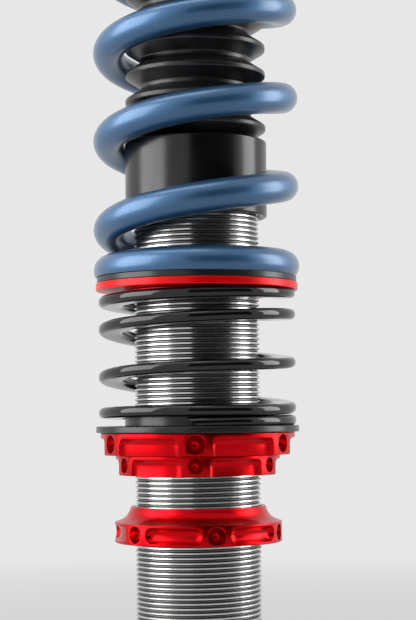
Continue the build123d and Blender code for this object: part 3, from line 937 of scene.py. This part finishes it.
class COILOVER_OT_perch_collars(Operator):
    """Turns and mills the perch nut and the lock ring under it"""
    bl_idname = "coilover.perch_collars"
    bl_label = "Perch nut and lock ring"

    def execute(self, context):
        nose, edge = sizes().nose_radius, 0.0004
        bore = reach("threaded_body") + RING_PLAY
        for node_name, name, hole, depth, under, phase in (
            ("perch_nut", "nut_perch", (0.0073, 0.0046), 0.0024, 0.0022, -1.3),
            ("perch_lock_ring", "ring_perch_lock", (0.0060, 0.0038), 0.0021, 0.0016, -1.7),
        ):
            rim, (bottom, top) = half_width(node_name), levels(node_name)
            blank = turned(name, [
                (bore + edge, bottom), (rim - edge, bottom), (rim, bottom + edge),
                (rim, top - edge), (rim - edge, top), (bore + edge, top), (bore, top - edge),
                (bore, bottom + edge),
            ], 192)
            slot = (depth, nose, 20.5, bottom - 4 * nose, top - under)
            collar = gripped(blank, rim, (bottom + top) / 2, hole, slot, phase)
            placed(collar, node_name, "anodised_red", node_name)
        return DONE


class COILOVER_OT_lower_ring(Operator):
    """Turns and mills the coned ring that locks the body in its mount"""
    bl_idname = "coilover.lower_ring"
    bl_label = "Lower lock ring"

    def execute(self, context):
        body, (bottom, top) = reach("threaded_body"), levels("lower_lock_ring")
        bore, rim, edge = body + RING_PLAY, half_width("lower_lock_ring"), 0.0004
        shelf, lip, steps = bottom + 0.0084, body + 0.0018, 10
        outline = [
            (bore + edge, bottom), (rim - edge, bottom), (rim, bottom + edge),
            (rim, shelf - edge / 2),
        ]
        for i in range(steps + 1):
            share = i / steps
            sag = 0.0010 * sin(pi * share)
            radius = rim - edge + share * (lip - rim + edge)
            outline.append((radius - sag, shelf + share * (top - shelf) - sag))
        outline += [(bore, top), (bore, bottom + edge)]
        blank = turned("ring_lower_lock", outline, 192)
        level, nose, depth = bottom + 0.0042, 0.00335, 0.0024
        slot = (depth, nose, 20.5, level - nose, level + nose)
        collar = gripped(blank, rim, level, (0.0068, 0.0042), slot, 12.2)
        placed(collar, "lower_lock_ring", "anodised_red", "lower_lock_ring")
        return DONE


# --- spring seats

def flanged(name, flange, hub, bore, bottom, top, hub_end):
    """A turned flange with a hub above or below it, its edges rounded."""
    if hub_end > top:
        hub_side = [(flange, top), (hub, top), (hub, hub_end), (bore, hub_end)]
        outline = [(bore, bottom), (flange, bottom)] + hub_side
    else:
        hub_side = [(bore, hub_end), (hub, hub_end), (hub, bottom), (flange, bottom)]
        outline = hub_side + [(flange, top), (bore, top)]
    return smooth_flats(eased(turned(name, outline, 160), sizes().edge_round))


class COILOVER_OT_spring_seats(Operator):
    """Turns the seat under the helper spring and the divider between the springs"""
    bl_idname = "coilover.spring_seats"
    bl_label = "Spring seats"

    def execute(self, context):
        body, play = reach("threaded_body"), 0.00025
        helper_hub, main_hub = body + 0.0043 - play, body + 0.004 - play
        seat = flanged(
            "seat_lower", reach("spring_seat"), helper_hub, body + 0.0003,
            low("spring_seat"), low("helper_spring"), high("spring_seat"),
        )
        placed(seat, "spring_seat", "seat_black", "spring_seat")
        bore, joint = body + 0.0005, low("divider_washer")
        divider = flanged(
            "ring_divider", reach("divider_ring"), helper_hub, bore,
            joint - 0.003, joint, low("divider_ring") + 0.003,
        )
        placed(divider, "divider", "ring_red", "divider_ring")
        washer = flanged(
            "washer_divider", reach("divider_washer"), main_hub, bore,
            joint, low("main_spring"), high("divider_washer"),
        )
        placed(washer, "divider", "seat_black", "divider_washer")
        return DONE


# --- boot and buffer

class COILOVER_OT_boot_collar(Operator):
    """Turns the gloss black collar over the top of the body"""
    bl_idname = "coilover.boot_collar"
    bl_label = "Boot collar"

    def execute(self, context):
        (bottom, top), outer = levels("boot_collar"), reach("boot_collar")
        bore, hole, under = reach("threaded_body") + 0.00005, 0.0215, high("threaded_body")
        outline = [
            (bore, bottom + 0.0014), (bore + 0.0011, bottom), (outer, bottom), (outer, top),
            (hole, top), (hole, under), (bore, under),
        ]
        collar = smooth_flats(eased(turned("sleeve_boot_collar", outline, 160), 0.0009, 4))
        placed(collar, "damper_body", "sleeve_black", "boot_collar")
        return DONE


class COILOVER_OT_dust_boot(Operator):
    """Moulds the ribbed dust boot between the boot collar and the upper seat"""
    bl_idname = "coilover.dust_boot"
    bl_label = "Dust boot"

    def execute(self, context):
        (bottom, top), crest = levels("dust_boot"), reach("dust_boot")
        valley, bore, ribs = crest - 0.006, crest - 0.0075, sizes().boot_ribs
        pitch = (top - bottom) / ribs
        rib = ((-0.42, valley), (-0.085, crest), (0.085, crest), (0.42, valley))
        outline = [(bore, bottom), (valley, bottom)]
        for i in range(ribs):
            middle = bottom + (i + 0.5) * pitch
            outline += [(radius, middle + share * pitch) for share, radius in rib]
        outline += [(valley, top), (bore, top)]
        boot = smooth(eased(turned("bellows_boot", outline, 112), 0.0012, 5), 60)
        placed(boot, "damper_body", "moulded_rubber", "dust_boot")
        shortens(boot)
        return DONE


class COILOVER_OT_bump_stop(Operator):
    """Moulds the foam buffer on the piston rod"""
    bl_idname = "coilover.bump_stop"
    bl_label = "Bump stop"

    def execute(self, context):
        (bottom, top), outer = levels("bump_stop"), reach("bump_stop")
        bore, waist, slope = reach("piston_rod") + 0.0003, outer - 0.004, 0.003
        step = (top - bottom) / 3
        outline = [(bore, bottom), (waist, bottom), (outer, bottom + slope)]
        for middle in (bottom + step, bottom + 2 * step):
            outline += [(outer, middle - slope), (waist, middle), (outer, middle + slope)]
        outline += [(outer, top), (bore, top)]
        buffer = smooth(eased(turned("buffer_bump_stop", outline, 96), 0.0010, 4), 50)
        placed(buffer, frame_body("bump_stop"), "buffer_foam", "bump_stop")
        return DONE


# --- lower mount, bush and seals

class COILOVER_OT_lower_mount(Operator):
    """Eases the edges of the lower mount and moulds the rubber in its eye"""
    bl_idname = "coilover.lower_mount"
    bl_label = "Lower mount and bush"

    def execute(self, context):
        eased_copy("lower_mount", "mount_lower", 0.0008, "mount_steel")
        face, outside = reach("bush_shell"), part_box("bush_shell")[1].x - 0.0013
        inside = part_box("eye_sleeve")[1].x + 0.00005
        middle, half, steps = (inside + outside) / 2, (outside - inside) / 2, 8
        angles = [pi * i / steps for i in range(steps + 1)]
        hollow = [(middle - half * cos(angle), half * sin(angle)) for angle in angles]
        outline = [(radius, -face + depth) for radius, depth in hollow]
        outline += [(radius, face - depth) for radius, depth in reversed(hollow)]
        rubber = only(turned("rubber_bush", outline, 96))
        bpy.ops.transform.rotate(value=pi / 2, orient_axis="X", center_override=ORIGIN)
        bpy.ops.object.transform_apply()
        smooth(rubber, 40)
        placed(rubber, frame_body("bush_rubber"), "moulded_rubber", "bush_rubber")
        eased_copy("eye_sleeve", "sleeve_eye", 0.0005, "zinc")
        return DONE


class COILOVER_OT_seals(Operator):
    """Moulds the rod seal and the floating piston's ring"""
    bl_idname = "coilover.seals"
    bl_label = "Seals"

    def execute(self, context):
        for node_name, name in (
            ("rod_seal", "seal_rod"), ("floating_piston_ring", "ring_floating_piston"),
        ):
            eased_copy(node_name, name, 0.0003, "moulded_rubber")
        return DONE


# --- top mount and adjuster

class COILOVER_OT_upper_seat(Operator):
    """Eases the edges of the seat over the main spring"""
    bl_idname = "coilover.upper_seat"
    bl_label = "Upper seat"

    def execute(self, context):
        eased_copy("upper_seat", "seat_upper", 0.0006, "seat_black")
        return DONE


class COILOVER_OT_top_mount(Operator):
    """Eases the top plate and the rod's nut, and cuts the threads of the studs"""
    bl_idname = "coilover.top_mount"
    bl_label = "Top mount"

    def execute(self, context):
        eased_copy("top_plate", "plate_top", 0.0006, "plate_alloy")
        face, tip, head = high("top_plate"), high("top_studs"), low("top_studs")
        under = face - 0.008
        crest, depth, shank, head_radius, circle = 0.004, 0.0007, 0.0045, 0.0065, 0.048
        rod = threaded_rod("stud", crest, crest - depth, sizes().stud_pitch, face, tip, 40)
        shoulder = turned("shoulder", [
            (crest * 0.5, head), (head_radius, head), (head_radius, under), (shank, under),
            (shank, face), (crest * 0.5, face),
        ], 48)
        stud = only(joined("studs_top", [rod, eased(shoulder, 0.0004)]))
        bpy.ops.transform.translate(value=(circle, 0, 0))
        bpy.ops.object.transform_apply()
        studs = smooth(joined("studs_top", around(stud, 3, 90.0)), 30)
        placed(studs, frame_body("top_studs"), "zinc", "top_studs")
        eased_copy("rod_nut", "nut_rod", 0.0004, "zinc", angle=25)
        return DONE


class COILOVER_OT_adjuster(Operator):
    """Eases the fluted knob of the damping adjuster"""
    bl_idname = "coilover.adjuster"
    bl_label = "Damping adjuster"

    def execute(self, context):
        eased_copy(
            "adjuster_knob", "knob_adjuster", 0.0003, "anodised_red",
            angle=30, smoothing=30,
        )
        return DONE


MACHINED_PIECES = {
    "plain_steel": (
        "bush_shell", "gland_nut", "valve_shims", "thrust_washer_lower", "thrust_washer_upper",
        "bearing_race", "retaining_ring", "adjuster_rod",
    ),
    "piston_alloy": ("base_plug", "seal_head", "floating_piston", "piston"),
    "hard_chrome": ("piston_rod", "thrust_needles", "pillow_ball"),
    "seal_plastic": ("piston_band", "thrust_cage"),
    "zinc": ("piston_nut", "top_spacer"),
}


class COILOVER_OT_machined_pieces(Operator):
    """Gives the machined pieces that stay as they are their metal"""
    bl_idname = "coilover.machined_pieces"
    bl_label = "Machined pieces"

    def execute(self, context):
        for finish_name, node_names in MACHINED_PIECES.items():
            for node_name in node_names:
                dressed(frame["nodes"][node_name], finish_name)
        return DONE


# --- stage

def seen_ray(tree):
    """1 for the rays that show a background: to the camera, in a mirror or through glass."""
    path = node(tree, "ShaderNodeLightPath").outputs
    first = maths(tree, "MAXIMUM", path["Is Camera Ray"], path["Is Glossy Ray"])
    return maths(tree, "MAXIMUM", first, path["Is Transmission Ray"])


def stage_pale(shade, seen):
    """A plain pale surface that keeps the object's shadow, and far out is as even as the world."""
    grey = (shade, shade, shade)
    made, tree = finish("stage_pale", grey, Roughness=0.9, Specular_IOR_Level=0.0)[:2]
    even = node(tree, "ShaderNodeEmission", {"Strength": seen}).outputs["Emission"]
    away = effect(tree, from_axis, From=0.25, To=1.6)["Share"]
    mix = node(tree, "ShaderNodeMixShader", {
        "Fac": maths(tree, "MULTIPLY", seen_ray(tree), away),
        1: tree.nodes["Principled BSDF"].outputs["BSDF"], 2: even,
    })
    link(tree, mix.outputs["Shader"], tree.nodes["Material Output"].inputs["Surface"])
    return made


def soft_lamp(name, place, aim, width, height, power):
    """A soft box that faces a point."""
    deselect_all()
    bpy.ops.object.light_add(type="AREA", location=place)
    lamp = bpy.context.active_object
    lamp.name = name
    lamp.rotation_euler = (Vector(aim) - Vector(place)).to_track_quat("-Z", "Y").to_euler()
    lamp.data.shape = "RECTANGLE"
    lamp.data.size, lamp.data.size_y = width, height
    lamp.data.energy = power


def flag(name, first, last, radius, height):
    """A black card curved round the object between two bearings, in degrees from the camera."""
    deselect_all()
    bpy.ops.mesh.primitive_plane_add(size=radius, location=(0, -radius, 0))
    card = settled(name)
    edit(card)
    bpy.ops.mesh.merge(type="CENTER")
    lifted(0, 0, height)
    bpy.ops.mesh.select_all(action="SELECT")
    bpy.ops.mesh.spin(steps=16, angle=-radians(last - first), center=ORIGIN, axis=UP)
    card = turned_to(card, first)
    black = finish("flag_black", (0.02, 0.02, 0.02), Roughness=0.9, Specular_IOR_Level=0.0)[0]
    card.data.materials.append(black)
    card.visible_camera = False


def backdrop(shade, seen):
    """A round floor that curves up all round the object."""
    ground, radius, step, steps = BOX[0].z - 0.0002, 2.6, 0.12, 8
    floor = ring("floor", radius, ground, 96)
    edit(floor)
    level = ground
    for i in range(steps):
        angle = radians(90 * (i + 0.5) / steps)
        wider, higher = radius + step * cos(angle), level + step * sin(angle)
        raised(radius, level, wider, higher)
        radius, level = wider, higher
    raised(radius, level, radius, level + 0.6)
    select_level(floor, ground)
    bpy.ops.mesh.edge_face_add()
    smooth(floor, 40)
    floor.data.materials.append(stage_pale(shade, seen))


def studio_world(seen):
    """An even pale surround, brighter where it is seen than where it lights."""
    world = bpy.data.worlds.new("studio")
    bpy.context.scene.world = world
    world.use_nodes = True
    tree, lighting = world.node_tree, 0.30
    background = tree.nodes["Background"].inputs
    background["Color"].default_value = (1, 1, 1, 1)
    link(tree, spread(tree, seen_ray(tree), 0, 1, lighting, seen), background["Strength"])


class COILOVER_OT_stage(Operator):
    """Sets up the pale floor and backdrop, the soft lamps and the camera"""
    bl_idname = "coilover.stage"
    bl_label = "Stage"

    def execute(self, context):
        shade, seen = 0.64, 0.80
        backdrop(shade, seen)
        studio_world(seen)
        aim = (0, 0, 0.22)
        soft_lamp("key", (-1.35, -0.35, 0.65), aim, 1.3, 1.5, power=26)
        soft_lamp("side", (1.45, 0.15, 0.45), aim, 0.7, 1.5, power=15)
        soft_lamp("overhead", (-0.2, 0.1, 1.8), aim, 1.2, 1.2, power=14)
        flag("flag", first=-10, last=66, radius=1.9, height=1.6)

        distance, height, upwards, roll, aside = 0.702, 0.1701, 3.5, 0.46, -0.35
        deselect_all()
        bpy.ops.object.camera_add(location=(0, -distance, height))
        camera = bpy.context.active_object
        camera.rotation_euler = (radians(90 + upwards), radians(roll), radians(aside))
        camera.data.lens = 98.1
        camera.data.clip_start = 0.05
        context.scene.camera = camera
        context.scene.view_settings.view_transform = "Standard"
        return DONE


# --- panel and run

STEPS = (
    COILOVER_OT_threaded_body, COILOVER_OT_main_spring, COILOVER_OT_helper_spring,
    COILOVER_OT_perch_collars, COILOVER_OT_lower_ring, COILOVER_OT_spring_seats,
    COILOVER_OT_boot_collar, COILOVER_OT_dust_boot, COILOVER_OT_bump_stop,
    COILOVER_OT_lower_mount, COILOVER_OT_seals, COILOVER_OT_upper_seat, COILOVER_OT_top_mount,
    COILOVER_OT_adjuster, COILOVER_OT_machined_pieces, COILOVER_OT_stage,
)


class COILOVER_PT_panel(Panel):
    """Lists the steps that dress the coilover"""
    bl_idname = "COILOVER_PT_panel"
    bl_label = "Coilover"
    bl_space_type = "VIEW_3D"
    bl_region_type = "UI"
    bl_category = "Coilover"

    def draw(self, context):
        for group_name in ("coilover_sizes", "coilover_colours"):
            given = getattr(context.scene, group_name)
            box = self.layout.box()
            for key in given.__annotations__:
                box.prop(given, key)
        for step in STEPS:
            self.layout.operator(step.bl_idname)


CLASSES = (CoiloverSizes, CoiloverColours, *STEPS, COILOVER_PT_panel)


def register():
    for each in CLASSES:
        bpy.utils.register_class(each)
    bpy.types.Scene.coilover_sizes = PointerProperty(type=CoiloverSizes)
    bpy.types.Scene.coilover_colours = PointerProperty(type=CoiloverColours)


def unregister():
    del bpy.types.Scene.coilover_sizes
    del bpy.types.Scene.coilover_colours
    for each in reversed(CLASSES):
        bpy.utils.unregister_class(each)


def main():
    register()
    for step in STEPS:
        getattr(bpy.ops.coilover, step.bl_idname.split(".")[1])()
    deselect_all()


if __name__ == "__main__":
    main()
